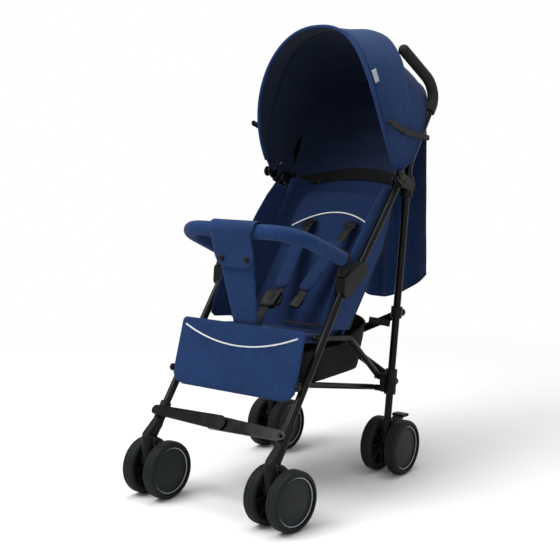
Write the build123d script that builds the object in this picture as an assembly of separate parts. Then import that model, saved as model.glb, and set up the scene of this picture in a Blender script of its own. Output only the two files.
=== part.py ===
from build123d import *
import os
from math import cos, radians, sin, tan

os.makedirs("parts", exist_ok=True)

# An umbrella-fold baby stroller. X runs across and +X is the rider's left, the stroller
# faces -Y, +Z is up and the floor is z = 0. In the sizes below, heights are from the floor
# and fore-and-aft places are from the rear axle, minus to the front.
rear_axle_y = 151.0

# Frame tubes
tube_spacing = 366.0
tube_radius = 9.5
tube_wall = 1.2
rail_radius = 7.5
rear_lean = 7.9
rear_foot_y = -25.0
tube_foot_height = 92.0
handle_bend_height = 790.0
handle_corner = (224.0, 982.0)
handle_tip = (111.0, 1081.0)
handle_tip_inward = 40.0
grip_radius = 14.5
grip_start_share = 0.70

# Wheels
wheel_radius = 70.0
wheel_width = 34.0
twin_gap = 36.0
rim_radius = 59.0
shoulder_radius = 10.0
disc_dome = 4.0
axle_radius = 4.0
caster_y = -520.0
caster_trail = 29.0
stem_length = 32.0
left_caster_turn = -8.0
right_caster_turn = -3.0

# Front legs and what hinges at the sides
leg_pivot = (28.0, 750.0)
leg_jog_top = (-160.0, 551.0)
leg_jog_bottom = (-218.0, 526.0)
leg_foot = (-501.0, 159.0)
canopy_hinge = (-5.0, 768.0)
rail_pivot = (-20.0, 251.0)
rail_corner = (-165.0, 376.0)
rail_front = (-313.0, 397.0)
link_pivot = (-18.0, 221.0)
link_front = (-392.0, 301.0)
footrest_height = 198.0
footrest_width = 36.0
footrest_end_width = 24.0
footrest_overlap = 30.0
footrest_thickness = 5.0

brake_pivot = (14.0, 122.0)
brake_lug = (-5.0, 88.0)

# Cross bars of the folding brace at the back
cross_low_height = 238.0
cross_high_height = 415.0
bar_width = 20.0
bar_thickness = 6.0

# Stays of the canopy
stay_mount = (128.0, 858.0)
stay_knee = (4.0, 874.0)
stay_front_end = (-62.0, 896.0)

# Soft goods
canopy_half_width = 202.0
canopy_rise = 376.0
canopy_power = 2.6
canopy_front_angle = 80.0
canopy_sweep = 28.0
canopy_seam_angle = 104.0
canopy_rear_angle = 135.0
cloth = 3.0
curtain_side_hem = 494.0
curtain_middle_hem = 415.0
curtain_sweep = 45.0
seat_front_y = -384.0
seat_depth = 205.0
seat_thickness = 32.0
back_foot = (-172.9, 367.0)
back_angle = 38.3
back_length = 432.0
back_thickness = 28.0
back_half_width = 148.0
legrest_top = (-379.0, 418.0)
legrest_bottom = (-428.0, 266.0)
legrest_half_width = 178.0
legrest_thickness = 14.0
bumper_foot = (-226.0, 574.0)
bumper_radius = 20.0
bumper_reach = 195.0
bumper_rise_angle = 22.5
bumper_corner = 70.0

# Fits: around a turning pin, and between pieces that move past each other
running_gap = 0.05
free_gap = 0.3
pin_radius = 4.0

side_x = tube_spacing / 2
wheel_offset = (twin_gap + wheel_width) / 2
axle_end = wheel_width / 2 - 11.0
rail_x = side_x - tube_radius - rail_radius - 8.0
link_x = rail_x - 2 * rail_radius - 3.0
footrest_layer = tube_radius + 5.0
cheek_inner = tube_radius + 0.5
cheek_outer = tube_radius + 5.5
stay_x = canopy_half_width + 3.4
layer_front = 17.0
layer_rear = layer_front + bar_thickness + 0.6
leg_rise = (leg_jog_bottom[0] - leg_foot[0]) / (leg_jog_bottom[1] - leg_foot[1])


def at(x, y, z):
    """A point, with y from the rear axle."""
    return Vector(x, y + rear_axle_y, z)


def rear_y(height):
    """Where the straight rear tube stands at a height."""
    return rear_foot_y + (height - wheel_radius) * tan(radians(rear_lean))


def leg_y(height):
    """Where the straight lower front leg stands at a height."""
    return leg_foot[0] + (height - leg_foot[1]) * leg_rise


def save(name, shape):
    export_step(shape, f"parts/{name}.step")


def save_pair(name, left_shape):
    """A left piece and its mirror image on the right."""
    save(f"left_{name}", left_shape)
    save(f"right_{name}", mirror(left_shape, about=Plane.YZ))


def rod(start, end, radius):
    """A round bar between two points."""
    along = end - start
    standing = Cylinder(radius, along.length, align=(Align.CENTER, Align.CENTER, Align.MIN))
    return Plane(origin=start, z_dir=along) * standing


def cross_rod(x_from, x_to, spot, radius):
    """A round bar across the stroller at a side-view spot (y, z)."""
    return rod(at(x_from, *spot), at(x_to, *spot), radius)


def route(points, bends):
    """Straight runs joined by bends."""
    if len(points) == 2:
        return Line(*points)
    return FilletPolyline(*points, radius=bends)


def bar_along(path, radius):
    return sweep((path ^ 0) * Circle(radius), path=path)


def tube_along(path, radius):
    ring = Circle(radius) - Circle(radius - tube_wall)
    return sweep((path ^ 0) * ring, path=path)


def plate(spots, x_from, x_to):
    """A flat plate in the side view, its outline drawn around discs (y, z, radius)."""
    rims = [(Pos(y + rear_axle_y, z) * Circle(radius)).edge() for y, z, radius in spots]
    outline = make_hull(rims)
    return extrude(Plane.YZ.offset(x_from) * outline, amount=x_to - x_from)


def side_shape(corners, x_from, x_to):
    """A block whose side view is a polygon of (y, z) corners."""
    outline = Polyline(*[(y + rear_axle_y, z) for y, z in corners], close=True)
    return extrude(Plane.YZ.offset(x_from) * make_face(outline), amount=x_to - x_from)


rear_up = Vector(0, sin(radians(rear_lean)), cos(radians(rear_lean)))
rear_back = Vector(0, cos(radians(rear_lean)), -sin(radians(rear_lean)))
cross_middle_height = (cross_low_height + cross_high_height) / 2
cross_half_rise = (cross_high_height - cross_low_height) / 2 / cos(radians(rear_lean))
cross_origin = at(0, rear_y(cross_middle_height), cross_middle_height)
cross_plane = Plane(origin=cross_origin, x_dir=(1, 0, 0), z_dir=-rear_back)


def rear_point(height):
    return at(side_x, rear_y(height), height)


def handle_points():
    foot = rear_point(tube_foot_height)
    bend = rear_point(handle_bend_height)
    corner = at(side_x, *handle_corner)
    tip = at(side_x - handle_tip_inward, *handle_tip)
    return [foot, bend, corner, tip]


def make_handle_tube():
    tube = tube_along(route(handle_points(), (90.0, 60.0)), tube_radius)
    stay_hole = cross_rod(side_x - 2, side_x + 2 * tube_radius, stay_mount, 3 + running_gap)
    return tube - stay_hole


def make_handle_grip():
    foot, bend, corner, tip = handle_points()
    start = bend + (corner - bend) * grip_start_share
    path = route([start, corner, tip], (60.0,))
    foam = bar_along(path, grip_radius) + Pos(*tip) * Sphere(grip_radius)
    past_tip = (tip - corner).normalized() * running_gap
    core = bar_along(route([start, corner, tip + past_tip], (60.0,)), tube_radius + running_gap)
    return foam - core


def make_side_joint():
    """Clamp on the handle tube, two cheeks for the front leg and the canopy's hinge pin."""
    joint = rod(rear_point(708), rear_point(760), tube_radius + 6)
    clamp_spot = (rear_y(738), 738.0, tube_radius + 6)
    leg_spot = (*leg_pivot, 16.0)
    hinge_spot = (*canopy_hinge, 12.0)
    joint += plate([clamp_spot, leg_spot, hinge_spot], side_x + cheek_inner, side_x + cheek_outer)
    joint += plate([clamp_spot, leg_spot], side_x - cheek_outer, side_x - cheek_inner)
    joint -= rod(rear_point(690), rear_point(780), tube_radius + running_gap)
    joint += cross_rod(side_x - cheek_outer - 2, side_x + cheek_outer + 1.5, leg_pivot, pin_radius)
    joint += cross_rod(side_x - cheek_outer - 2, side_x - cheek_outer, leg_pivot, pin_radius + 3)
    joint += cross_rod(side_x + cheek_outer, canopy_half_width + 3, canopy_hinge, pin_radius)
    return joint


def cross_boss(height, layer, clear_end):
    """Boss and pin behind the tube that carry one end of a cross bar."""
    centre = rear_point(height)
    boss = rod(centre, centre + rear_back * (layer - free_gap), 9.0)
    pin_end = centre + rear_back * (layer + bar_thickness + free_gap)
    boss += rod(centre, pin_end, pin_radius)
    boss += rod(pin_end, pin_end + rear_back * clear_end, pin_radius + 3)
    return boss


def make_rear_bracket(layer):
    """Bracket on the rear tube: cross bar boss, pins of the seat rail and the lower link."""
    bracket = rod(rear_point(206), rear_point(270), tube_radius + 5.5)
    bracket += cross_boss(cross_low_height, layer, 2.0)
    inner_face = rail_x + rail_radius + free_gap
    spots = [(*rail_pivot, 9.0), (*link_pivot, 9.0), (rear_y(238), 238.0, 13.0)]
    bracket += plate(spots, inner_face, side_x - tube_radius + 4)
    bracket += cross_rod(rail_x - rail_radius - free_gap, inner_face, rail_pivot, pin_radius)
    head_x = rail_x - rail_radius - free_gap
    bracket += cross_rod(head_x - 2, head_x, rail_pivot, pin_radius + 2.5)
    link_face = link_x + rail_radius + free_gap
    bracket += cross_rod(link_face, inner_face, link_pivot, 8.0)
    head_x = link_x - rail_radius - free_gap
    bracket += cross_rod(head_x, link_face, link_pivot, pin_radius)
    bracket += cross_rod(head_x - 2, head_x, link_pivot, pin_radius + 2.5)
    return bracket - rod(rear_point(190), rear_point(290), tube_radius + running_gap)


def make_cross_collar(layer):
    """Collar that slides on the rear tube and carries the upper end of a cross bar."""
    reach = rear_up * 15.0
    centre = rear_point(cross_high_height)
    collar = rod(centre - reach, centre + reach, tube_radius + 5)
    collar += cross_boss(cross_high_height, layer, 2.0)
    return collar - rod(centre - reach * 2, centre + reach * 2, tube_radius + free_gap)


def make_cross_bar(layer, slope):
    """Flat bar from one lower bracket to the other side's upper collar."""
    ends = [(side_x, -slope * cross_half_rise), (-side_x, slope * cross_half_rise)]
    rims = [(Pos(x, y) * Circle(bar_width / 2)).edge() for x, y in ends]
    face = make_hull(rims)
    bar = extrude(cross_plane.offset(-layer - bar_thickness) * face, amount=bar_thickness)
    hole = Cylinder(pin_radius + running_gap, 4 * bar_thickness)
    for x, y in ends:
        bar -= cross_plane.offset(-layer) * Pos(x, y) * hole
    return bar


def make_front_cross_bar():
    """The cross bar next to the tubes, with the rivet that the other bar turns on."""
    bar = make_cross_bar(layer_front, 1.0)
    rear_end = layer_rear + bar_thickness + free_gap
    start = cross_origin + rear_back * layer_front
    bar += rod(start, cross_origin + rear_back * rear_end, pin_radius)
    head = cross_origin + rear_back * (rear_end + 2)
    return bar + rod(cross_origin + rear_back * rear_end, head, pin_radius + 3)


def make_rear_cross_bar():
    hole = Cylinder(pin_radius + running_gap, 4 * bar_thickness)
    return make_cross_bar(layer_rear, -1.0) - cross_plane.offset(-layer_rear) * hole


def make_rear_housing():
    """Foot of the rear tube, with the axle for a pair of wheels."""
    spots = [(0.0, wheel_radius, 15.0), (rear_y(100), 100.0, 13.0)]
    housing = plate(spots, side_x - 11, side_x + 11)
    housing += rod(rear_point(tube_foot_height - 8), rear_point(142), tube_radius + 4)
    housing += plate([(*brake_lug, 12.0), (*brake_pivot, 8.0)], side_x - 5, side_x + 5)
    housing -= rod(rear_point(tube_foot_height), rear_point(160), tube_radius + running_gap)
    housing += cross_rod(side_x - 10.7, side_x + 10.7, brake_pivot, pin_radius)
    return housing + wheel_axle((0.0, wheel_radius))


def wheel_axle(spot):
    reach = wheel_offset + axle_end
    return cross_rod(side_x - reach, side_x + reach, spot, axle_radius)


def make_brake_pedal():
    """Pedal over the gap between the rear wheels: two cheeks on a pin and a tread."""
    spots = [(*brake_pivot, 8.0), (46.0, 137.0, 6.0)]
    pedal = plate(spots, side_x - 10.7, side_x + 10.7)
    pedal -= plate([(*brake_lug, 15.0), (*brake_pivot, 11.0)], side_x - 5.4, side_x + 5.4)
    pedal += plate([(40.0, 140.0, 4.0), (64.0, 138.0, 4.0)], side_x - 16, side_x + 16)
    return pedal - cross_rod(side_x - 20, side_x + 20, brake_pivot, pin_radius + running_gap)


def leg_points():
    spots = [leg_pivot, leg_jog_top, leg_jog_bottom, leg_foot]
    return [at(side_x, *spot) for spot in spots]


def make_front_leg():
    leg = tube_along(route(leg_points(), (34.0, 34.0)), tube_radius)
    end = Pos(*at(side_x, *leg_pivot)) * Sphere(tube_radius)
    leg += end - Pos(*at(side_x, *leg_pivot)) * Sphere(tube_radius - tube_wall)
    hole = cross_rod(side_x - 20, side_x + 20, leg_pivot, pin_radius + running_gap)
    return leg - hole


bumper_up = Vector(0, sin(radians(bumper_rise_angle)), cos(radians(bumper_rise_angle)))
bumper_forward = Vector(0, -cos(radians(bumper_rise_angle)), sin(radians(bumper_rise_angle)))


def make_leg_block():
    """Moulded block around the step in the front leg, with the bumper's pin on top."""
    under_bumper = (bumper_foot[0] - 14, bumper_foot[1] - 45, 8.0)
    spots = [(-168.0, 545.0, 19.0), (-216.0, 524.0, 16.0), (-236.0, 500.0, 15.0), under_bumper]
    block = plate(spots, side_x - tube_radius - 3, side_x + tube_radius + 6)
    seat = at(side_x, *bumper_foot)
    block += rod(seat - bumper_up * 43, seat - bumper_up * (bumper_radius + free_gap), 11.0)
    block += rod(seat - bumper_up * 43, seat + bumper_up * (bumper_radius - 3), 5.0)
    return block - bar_along(route(leg_points(), (34.0, 34.0)), tube_radius + running_gap)


leg_up = (at(0, *leg_jog_bottom) - at(0, *leg_foot)).normalized()
leg_out = leg_up.rotate(Axis.X, 90)


def leg_point(height):
    return at(side_x, leg_y(height), height)


def make_caster_socket():
    """Foot of the front leg: sleeve, upright barrel for the caster and the footrest's pin."""
    foot = at(side_x, *leg_foot)
    socket = rod(foot - leg_up * 8, leg_point(footrest_height + 24), tube_radius + 4)
    barrel_low = at(side_x, caster_y, wheel_radius + 38)
    barrel_high = at(side_x, caster_y, wheel_radius + 78)
    socket += rod(barrel_low, barrel_high, 15.5)
    cap = Pos(*barrel_high) * Sphere(15.5)
    socket += cap
    web = [(caster_y, 156.0, 10.0), (leg_y(178), 178.0, 12.0), (leg_y(166), 166.0, 10.0)]
    socket += plate(web, side_x - 9, side_x + 9)
    pivot = leg_point(footrest_height)
    layers = 2 * footrest_thickness + 1.0
    socket += rod(pivot, pivot + leg_out * (footrest_layer + layers), pin_radius)
    socket -= rod(foot, leg_point(footrest_height + 60), tube_radius + running_gap)
    socket += rod(pivot + leg_out * (tube_radius + 1), pivot + leg_out * (footrest_layer - free_gap), 8.0)
    socket -= rod(barrel_low - Vector(0, 0, 5), barrel_low + Vector(0, 0, stem_length + 4), 6 + running_gap)
    return socket


def make_footrest(layer):
    """Half of the folding footrest: a tapered blade on a pin in front of the leg."""
    pivot = leg_point(footrest_height)
    plane = Plane(origin=pivot, x_dir=(-1, 0, 0), z_dir=leg_out)
    reach = side_x + footrest_overlap
    outer_end = Circle(footrest_end_width / 2)
    middle_end = Pos(reach - footrest_width / 2, 0) * Circle(footrest_width / 2)
    ends = [outer_end.edge(), middle_end.edge()]
    face = make_hull(ends)
    board = extrude(plane.offset(layer) * face, amount=footrest_thickness)
    hole = plane * Cylinder(pin_radius + running_gap, 120)
    return board - hole


def turned(shape, turn):
    """A caster piece turned about its swivel."""
    return shape.rotate(Axis(at(side_x, caster_y, 0), (0, 0, 1)), turn)


def make_caster_fork():
    """Stem in the socket and one leg between the wheels, with the axle."""
    axle_spot = (caster_y + caster_trail, wheel_radius)
    top = at(side_x, caster_y, wheel_radius + 38 - free_gap)
    fork = rod(top, top + Vector(0, 0, stem_length), 6.0)
    fork += rod(top - Vector(0, 0, 10), top, 15.0)
    spots = [(*axle_spot, 14.0), (caster_y, wheel_radius + 22, 13.0), (caster_y + 8, wheel_radius + 22, 13.0)]
    fork += plate(spots, side_x - 11, side_x + 11)
    return fork + wheel_axle(axle_spot)


def make_hub():
    """Wheel hub about the X axis, outer face towards +X: boss, barrel, domed disc, bead and ribs."""
    inner_end = -(wheel_offset - 11 - free_gap)
    barrel = Cylinder(rim_radius - running_gap, wheel_width - 8) - Cylinder(rim_radius - 4, wheel_width)
    face_height = axle_end + 3.0
    face = Pos(0, 0, face_height - 3) * Cylinder(rim_radius - 2, 6)
    bead = Pos(0, 0, face_height) * (Cylinder(rim_radius - 1, 5) - Cylinder(rim_radius - 5, 6))
    disc_radius = rim_radius - 8
    dome_radius = (disc_radius**2 + disc_dome**2) / (2 * disc_dome)
    dome = Pos(0, 0, face_height + disc_dome - dome_radius) * Sphere(dome_radius)
    disc = (Pos(0, 0, face_height) * Cylinder(disc_radius, 2 * disc_dome)) & dome
    boss = Pos(0, 0, (inner_end + axle_end) / 2) * Cylinder(11, axle_end - inner_end)
    hub = barrel + face + bead + disc + boss
    for turn in range(0, 360, 45):
        hub += Rot(0, 0, turn) * Pos(rim_radius / 2, 0, -2) * Box(rim_radius - 6, 3, 14)
    bore_start = Vector(0, 0, inner_end - 1)
    bore_end = Vector(0, 0, axle_end + free_gap)
    bore = rod(bore_start, bore_end, axle_radius + running_gap)
    return Rot(0, 90, 0) * (hub - bore)


def make_tyre():
    """Solid tyre about the X axis with round shoulders and two grooves."""
    depth = wheel_radius - rim_radius
    section = Pos(rim_radius + depth / 2, 0) * Rectangle(depth, wheel_width)
    section = fillet(section.vertices().group_by(Axis.X)[-1], shoulder_radius)
    for offset in (-5, 5):
        section -= Pos(wheel_radius, offset) * Circle(1.2)
    ring = revolve(Plane.XZ * section, axis=Axis.Z)
    return Rot(0, 90, 0) * ring


def place_wheel(shape, spot, side):
    """Outer (side 1) or inner (side -1) wheel of the left pair at an axle."""
    facing = shape if side > 0 else mirror(shape, about=Plane.YZ)
    return Pos(*at(side_x + side * wheel_offset, *spot)) * facing


def save_wheels():
    hub = make_hub()
    tyre = make_tyre()
    fork = make_caster_fork()
    front_spot = (caster_y + caster_trail, wheel_radius)
    save("left_caster_fork", turned(fork, left_caster_turn))
    save("right_caster_fork", mirror(turned(fork, -right_caster_turn), about=Plane.YZ))
    for side, word in ((1, "outer"), (-1, "inner")):
        for kind, shape in (("hub", hub), ("tyre", tyre)):
            save_pair(f"rear_{word}_{kind}", place_wheel(shape, (0.0, wheel_radius), side))
            front = place_wheel(shape, front_spot, side)
            save(f"left_front_{word}_{kind}", turned(front, left_caster_turn))
            save(f"right_front_{word}_{kind}", mirror(turned(front, -right_caster_turn), about=Plane.YZ))


def make_seat_rail():
    points = [at(rail_x, *spot) for spot in (rail_pivot, rail_corner, rail_front)]
    path = route(points, (50.0,))
    rail = tube_along(path, rail_radius)
    for point in (points[0], points[-1]):
        rail += Pos(*point) * (Sphere(rail_radius) - Sphere(rail_radius - tube_wall))
    stub = cross_rod(rail_x + rail_radius - 1, side_x - tube_radius - 3 - free_gap, rail_front, 5.0)
    rail += stub
    return rail - cross_rod(rail_x - 20, rail_x + 20, rail_pivot, pin_radius + running_gap)


def make_lower_link():
    points = [at(link_x, *spot) for spot in (link_pivot, link_front)]
    link = tube_along(Line(*points), rail_radius)
    for point in points:
        link += Pos(*point) * (Sphere(rail_radius) - Sphere(rail_radius - tube_wall))
    link += cross_rod(link_x + rail_radius - 1, side_x - tube_radius - 3 - free_gap, link_front, 5.0)
    return link - cross_rod(link_x - 20, link_x + 20, link_pivot, pin_radius + running_gap)


def make_stay(start, end, x_from):
    """Flat stay with rounded ends."""
    return plate([(*start, 7.0), (*end, 7.0)], x_from, x_from + 3.5)


def make_stay_rear():
    stay = make_stay(stay_mount, stay_knee, stay_x)
    stay += cross_rod(side_x, stay_x + 1, stay_mount, 3.0)
    stay += cross_rod(side_x + tube_radius + 0.6, stay_x + 1, stay_mount, 6.0)
    return stay + cross_rod(stay_x + 1, stay_x + 8.5, stay_knee, 3.0)


def make_stay_front():
    stay = make_stay(stay_knee, stay_front_end, stay_x + 4.0)
    stay += cross_rod(canopy_half_width - 4.0, stay_x + 5, stay_front_end, 3.5)
    return stay - cross_rod(stay_x - 5, stay_x + 20, stay_knee, 3 + running_gap)


def arch_points(half_width, rise, count=17):
    """Points along a canopy bow, from one hinge over the top to the other."""
    points = []
    for step in range(count):
        turn = radians(180 * step / (count - 1))
        across = half_width * abs(cos(turn)) ** (2 / canopy_power)
        height = rise * abs(sin(turn)) ** (2 / canopy_power)
        points.append((across if cos(turn) > 0 else -across, height))
    return points


def make_gore(half_width, rise, angle_from, angle_to):
    """Canopy cloth swept about the hinge line between two bow angles."""
    outer = arch_points(half_width, rise)
    inner = arch_points(half_width - cloth, rise - cloth)
    rims = [
        Spline(*outer, tangents=((0, 1), (0, -1))),
        Line(outer[-1], inner[-1]),
        Spline(*inner, tangents=((0, 1), (0, -1))),
        Line(inner[0], outer[0]),
    ]
    face = make_face(rims)
    hinge = at(0, *canopy_hinge)
    lean = radians(angle_from)
    plane = Plane(origin=hinge, x_dir=(1, 0, 0), z_dir=(0, -sin(lean), -cos(lean)))
    return revolve(plane * face, axis=Axis(hinge, (-1, 0, 0)), revolution_arc=angle_to - angle_from)


def make_canopy_front():
    """Front canopy panel, its rim swept forward at the sides, with the two eyes it turns on."""
    panel = make_gore(canopy_half_width, canopy_rise, canopy_front_angle - canopy_sweep, canopy_seam_angle)
    rim = []
    for share in (0.05, 0.15, 0.3, 0.45, 0.6, 0.75, 0.9, 1.0):
        lean = radians(canopy_front_angle - canopy_sweep * (1 - share))
        reach = share * (canopy_rise + 30)
        rim.append((canopy_hinge[0] - reach * cos(lean), canopy_hinge[1] + reach * sin(lean)))
    ahead = [Spline(*rim), Polyline(rim[-1], (-600, rim[-1][1]), (-600, rim[0][1]), rim[0])]
    middle = Plane(origin=at(0, 0, 0), x_dir=(0, 1, 0), z_dir=(1, 0, 0))
    panel -= extrude(middle * make_face(ahead), amount=300, both=True)
    for side in (-1, 1):
        eye_from = side * (side_x + cheek_outer + 0.8)
        panel += cross_rod(eye_from, side * canopy_half_width, canopy_hinge, 12.0)
        bore_end = side * (canopy_half_width + 5)
        panel -= cross_rod(eye_from - side * 5, bore_end, canopy_hinge, pin_radius + running_gap)
    return panel


def make_canopy_rear():
    """Rear canopy panel and the curtain that hangs from it behind the backrest."""
    inset = 2 * cloth
    rise = canopy_rise - 2.5 * cloth
    panel = make_gore(canopy_half_width - inset, rise, canopy_seam_angle + 0.5, canopy_rear_angle + 2)
    panel -= cross_rod(-2 * side_x, 2 * side_x, canopy_hinge, 40.0)
    half = side_x - tube_radius - free_gap
    lean = cos(radians(180 - canopy_rear_angle))
    steps = 24
    faces = []
    top_edge = (canopy_hinge[1] + rise, -curtain_sweep)
    hem_edge = (curtain_middle_hem - 40, curtain_sweep)
    for height, sides_back in (top_edge, hem_edge):
        outer = []
        for step in range(steps + 1):
            x = half * (2 * step / steps - 1)
            share = 1 - (abs(x) / (canopy_half_width - inset)) ** canopy_power
            back = canopy_hinge[0] + lean * rise * share ** (1 / canopy_power)
            fold = 4.0 * cos(radians(720 * x / half)) * (1 - (x / half) ** 2)
            back += sides_back * (x / half) ** 4
            outer.append((x, back + fold + rear_axle_y))
        inner = [(x, y - cloth) for x, y in outer]
        rims = [Spline(*outer), Line(outer[-1], inner[-1]), Spline(*inner), Line(inner[0], outer[0])]
        faces.append(Plane.XY.offset(height) * make_face(rims))
    curtain = loft(faces, ruled=True)
    hinge_y, hinge_z = canopy_hinge
    reach = 450.0
    behind = [(hinge_y, hinge_z), (hinge_y + reach, hinge_z + reach), (hinge_y + reach, 300), (hinge_y, 300)]
    curtain = curtain & side_shape(behind, -side_x, side_x)
    hem = Polyline((-half - 9, 300), (-half - 9, curtain_side_hem), (0, curtain_middle_hem),
                   (half + 9, curtain_side_hem), (half + 9, 300), close=True)
    curtain -= extrude(Plane.XZ.offset(-800) * make_face(hem), amount=1600)
    return panel + curtain


def cushion(width, length, thickness, corner, channels):
    """Padded board in its own frame: rounded corners, a crown across and sewn channels."""
    outline = Pos(0, length / 2) * RectangleRounded(width, length, corner)
    pad = extrude(outline, amount=thickness)
    pad = fillet(pad.faces().sort_by(Axis.Z)[-1].edges(), thickness * 0.35)
    pad = fillet(pad.faces().sort_by(Axis.Z)[0].edges(), thickness * 0.2)
    crown = thickness * 0.2
    crown_radius = (width / 2) ** 2 / (2 * crown)
    dome = Pos(0, length / 2, thickness - crown_radius) * Rot(90, 0, 0) * Cylinder(crown_radius, 2 * length)
    pad = pad & dome
    for share in channels:
        pad -= Pos(0, share * length, thickness + 1) * Rot(0, 90, 0) * Cylinder(4, width)
    return pad


def side_plane(foot, along):
    """A frame across the stroller: x across, y along a side-view direction."""
    across = Vector(1, 0, 0)
    return Plane(origin=at(0, *foot), x_dir=across, z_dir=across.cross(along))


back_along = Vector(0, sin(radians(back_angle)), cos(radians(back_angle)))
back_plane = side_plane(back_foot, back_along)


def make_backrest_pad():
    pad = cushion(2 * back_half_width, back_length, back_thickness, 40.0, (0.3, 0.5, 0.72))
    return back_plane * pad


def make_seat_pad():
    """Seat pad between the rails, cut to the backrest, with the crotch panel at the front."""
    along = (at(0, *rail_corner) - at(0, *rail_front)).normalized()
    rail_slope = (rail_front[1] - rail_corner[1]) / (rail_front[0] - rail_corner[0])
    front_height = rail_front[1] + (seat_front_y - rail_front[0]) * rail_slope
    plane = side_plane((seat_front_y, front_height - 18.0), along)
    half = rail_x - rail_radius - free_gap
    pad = plane * cushion(2 * half, seat_depth + 60, seat_thickness, 24.0, (0.25, 0.5))
    behind = back_plane.offset(back_thickness + 0.4 - 300) * Box(
        4 * half, 900, 300, align=(Align.CENTER, Align.CENTER, Align.MIN)
    )
    pad -= behind
    top = bumper_middle - bumper_up * (bumper_radius + 0.6)
    foot = plane.from_local_coords((0, 15, seat_thickness - 8))
    face = Polyline((-42, 0), (42, 0), (60, (top - foot).length), (-60, (top - foot).length), close=True)
    panel_plane = Plane(origin=foot, x_dir=(1, 0, 0), z_dir=Vector(1, 0, 0).cross(top - foot))
    panel = extrude(panel_plane * make_face(face), amount=6.0)
    return pad + panel


bumper_left = at(side_x, *bumper_foot)
bumper_middle = at(0, *bumper_foot) + bumper_forward * bumper_reach


def make_bumper_bar():
    """Padded U-shaped bar with an eye at the left, on its pin, and a cup at the right."""
    right = at(-side_x, *bumper_foot)
    reach = bumper_forward * bumper_reach
    inward = Vector(14, 0, 0)
    points = [bumper_left, bumper_left + reach - inward, right + reach + inward, right]
    path = route(points, (bumper_corner, bumper_corner))
    bar = bar_along(path, bumper_radius)
    for end in (bumper_left, right):
        bar += rod(end - bumper_up * bumper_radius, end + bumper_up * bumper_radius, bumper_radius)
        bar -= rod(end - bumper_up * 20, end + bumper_up * (bumper_radius - 3 + free_gap), 5 + running_gap)
    return bar


def make_legrest():
    along = (at(0, *legrest_top) - at(0, *legrest_bottom)).normalized()
    length = (at(0, *legrest_top) - at(0, *legrest_bottom)).length
    pad = cushion(2 * legrest_half_width, length, legrest_thickness, 34.0, (0.12,))
    return side_plane(legrest_bottom, along) * pad


def make_legrest_knobs():
    along = at(0, *legrest_top) - at(0, *legrest_bottom)
    outward = Vector(1, 0, 0).cross(along).normalized()
    spot = at(0, *legrest_bottom) + along * 0.24 + outward * (legrest_thickness / 2)
    knobs = []
    for side in (-1, 1):
        start = spot + Vector(side * (legrest_half_width + 0.2), 0, 0)
        knob = rod(start, start + Vector(side * 9, 0, 0), 9.0)
        knobs.append(knob)
    return Compound(children=knobs)


def make_side_panel():
    """Cloth at the rider's side, between the front leg and the backrest."""
    outer = side_x - tube_radius - 3 - free_gap
    front_edge = [(-288, 426), (-218, 524), (-160, 552), (-2, 720)]
    back_edge = [(30, 700), (-8, 605), (-186, 400), (-282, 413)]
    corners = front_edge + back_edge
    return side_shape(corners, outer - cloth, outer)


def make_basket():
    half = link_x - rail_radius - free_gap
    outline = [(-334, 370), (-170, 351), (-20, 404), (-42, 300), (-72, 282), (-294, 275), (-310, 290)]
    room = [(-331, 390), (-170, 390), (-23, 440), (-45, 301), (-73, 285), (-293, 278), (-307, 291)]
    return side_shape(outline, -half, half) - side_shape(room, cloth - half, half - cloth)


save_pair("handle_tube", make_handle_tube())
save_pair("handle_grip", make_handle_grip())
save_pair("side_joint", make_side_joint())
save("left_rear_bracket", make_rear_bracket(layer_front))
save("right_rear_bracket", mirror(make_rear_bracket(layer_rear), about=Plane.YZ))
save("left_cross_collar", make_cross_collar(layer_rear))
save("right_cross_collar", mirror(make_cross_collar(layer_front), about=Plane.YZ))
save("front_cross_bar", make_front_cross_bar())
save("rear_cross_bar", make_rear_cross_bar())
save_pair("rear_housing", make_rear_housing())
save_pair("brake_pedal", make_brake_pedal())
save_pair("front_leg", make_front_leg())
save_pair("leg_block", make_leg_block())
save_pair("caster_socket", make_caster_socket())
save("left_footrest", make_footrest(footrest_layer))
save("right_footrest", mirror(make_footrest(footrest_layer + footrest_thickness + 0.5), about=Plane.YZ))
save_wheels()
save_pair("seat_rail", make_seat_rail())
save_pair("lower_link", make_lower_link())
save_pair("stay_rear", make_stay_rear())
save_pair("stay_front", make_stay_front())
save_pair("side_panel", make_side_panel())
save("canopy_front", make_canopy_front())
save("canopy_rear", make_canopy_rear())
save("backrest_pad", make_backrest_pad())
save("seat_pad", make_seat_pad())
save("bumper_bar", make_bumper_bar())
save("legrest", make_legrest())
save("legrest_knobs", make_legrest_knobs())
save("basket", make_basket())
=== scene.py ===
from math import acos, cos, pi, radians, sin, tan

import bmesh
import bpy
from mathutils import Matrix, Vector, noise


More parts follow.
